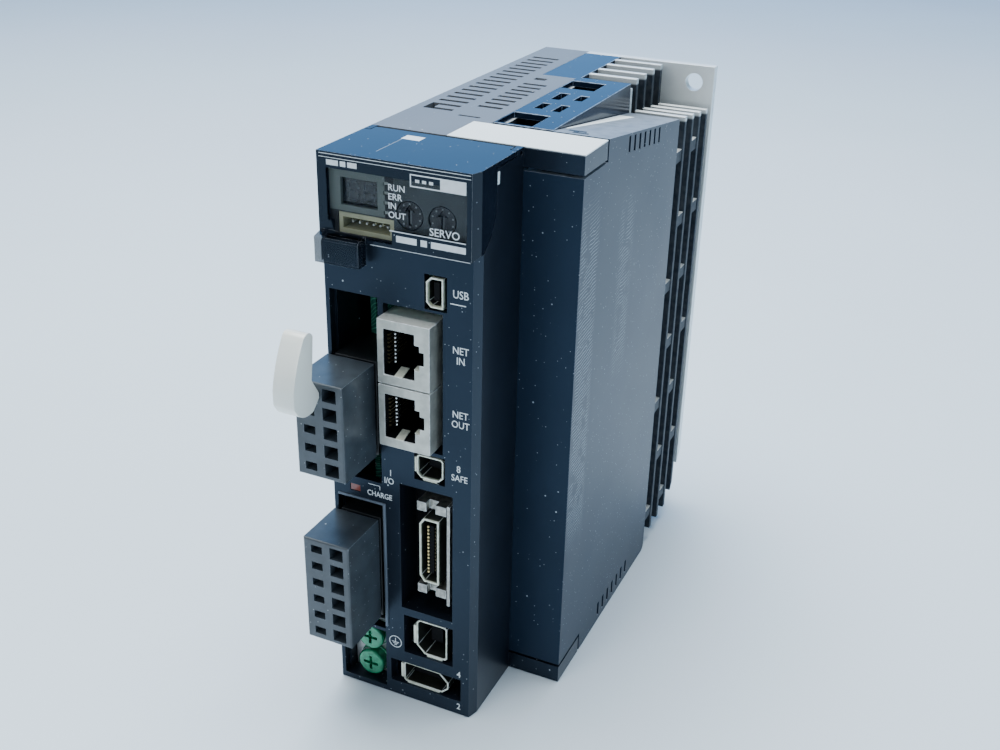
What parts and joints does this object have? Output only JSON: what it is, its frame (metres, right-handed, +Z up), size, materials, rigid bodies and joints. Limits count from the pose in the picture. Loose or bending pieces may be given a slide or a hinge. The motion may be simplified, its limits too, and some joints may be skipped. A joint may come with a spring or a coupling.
{
  "type": "servo drive",
  "caption": "Narrow book-shaped servo drive: charcoal front with sockets, screwless terminal plugs and a clear hinged display cover, slate side cover, cast heat sink behind.",
  "frame": {"origin": "under the middle of the whole part, at the level of its base", "axes": "+Z up, the front panel faces -Y, +X to the right seen from the front"},
  "size_m": [0.055, 0.158, 0.15],
  "materials": {
    "cast_aluminium": "satin cast, light warm grey",
    "charcoal_case": "fine moulded texture, dark charcoal",
    "grey_case": "fine moulded texture, mid grey",
    "slate_cover": "fine texture, slate grey",
    "gloss_plate": "gloss dark",
    "white_label": "matt white",
    "smoky_lens": "clear smoky",
    "grey_bezel": "grey-green",
    "display_black": "dark display",
    "lamp_clear": "clear",
    "black_plastic": "satin black",
    "cream_plastic": "cream nylon",
    "white_lever": "cream white nylon",
    "nickel": "nickel plated",
    "tinned": "tinned",
    "gold": "gold plated",
    "green_board": "solder mask",
    "plug_grey": "dark grey nylon",
    "green_screw": "green plated",
    "steel": "zinc plated",
    "capacitor_sleeve": "sleeved",
    "thermal_grey": "soft pad",
    "charge_red": "red lens",
    "transformer_yellow": "taped core"
  },
  "bodies": {
    "drive": {"heat_sink": "cast_aluminium", "front_case": "charcoal_case", "body_shell": "grey_case", "side_cover": "slate_cover", "top_vent_plate": "gloss_plate", "top_label": "white_label", "display_bezel": "grey_bezel", "seven_segment_display": "display_black", "status_lamps": "lamp_clear", "tens_rotary_switch": "black_plastic", "ones_rotary_switch": "black_plastic", "display_board": "green_board", "monitor_connector": "cream_plastic", "usb_shell": "nickel", "usb_tongue": "black_plastic", "ethernet_jack_in": "nickel", "ethernet_jack_out": "nickel", "jack_insert_in": "black_plastic", "jack_insert_out": "black_plastic", "jack_contacts": "gold", "safety_port_shell": "nickel", "safety_port_insert": "black_plastic", "scale_port_shell": "nickel", "scale_port_insert": "black_plastic", "encoder_port_shell": "nickel", "encoder_port_insert": "black_plastic", "io_connector_shell": "nickel", "io_connector_insert": "plug_grey", "io_connector_contacts": "gold", "io_latch_posts": "nickel", "io_bracket": "nickel", "power_header": "black_plastic", "motor_header": "black_plastic", "power_pins": "tinned", "motor_pins": "tinned", "earth_plate": "steel", "earth_screws": "green_screw", "charge_lamp": "charge_red", "control_board": "green_board", "power_board": "green_board", "logic_board": "green_board", "bus_capacitors": "capacitor_sleeve", "power_module": "black_plastic", "rectifier": "black_plastic", "thermal_pads": "thermal_grey", "relay": "plug_grey", "transformer": "transformer_yellow", "board_spacers": "steel", "logic_chips": "black_plastic", "board_screws": "steel"},
    "display_cover": {"display_cover": "smoky_lens"},
    "tens_dial": {"tens_dial": "black_plastic"},
    "ones_dial": {"ones_dial": "black_plastic"},
    "power_plug": {"power_plug": "plug_grey", "power_plug_clamps": "steel"},
    "motor_plug": {"motor_plug": "plug_grey", "motor_plug_clamps": "steel"},
    "wiring_lever": {"wiring_lever": "white_lever"}
  },
  "joints": [
    {"name": "display_cover_hinge", "type": "hinge", "parent": "drive", "child": "display_cover", "pos_m": [0, -0.0308, 0.1488], "axis": [-1, 0, 0], "range_deg": [0, 95]},
    {"name": "tens_dial_turn", "type": "hinge", "parent": "drive", "child": "tens_dial", "pos_m": [-0.0046, -0.051, 0.1377], "axis": [0, -1, 0], "continuous": true},
    {"name": "ones_dial_turn", "type": "hinge", "parent": "drive", "child": "ones_dial", "pos_m": [0.0036, -0.051, 0.1377], "axis": [0, -1, 0], "continuous": true},
    {"name": "power_plug_pull", "type": "slide", "parent": "drive", "child": "power_plug", "axis": [0, -1, 0], "range_m": [0, 0.02]},
    {"name": "motor_plug_pull", "type": "slide", "parent": "drive", "child": "motor_plug", "axis": [0, -1, 0], "range_m": [0, 0.02]},
    {"name": "wiring_lever_press", "type": "hinge", "parent": "power_plug", "child": "wiring_lever", "pos_m": [-0.0229, -0.0676, 0.09665], "axis": [-1, 0, 0], "range_deg": [0, 18]}
  ]
}
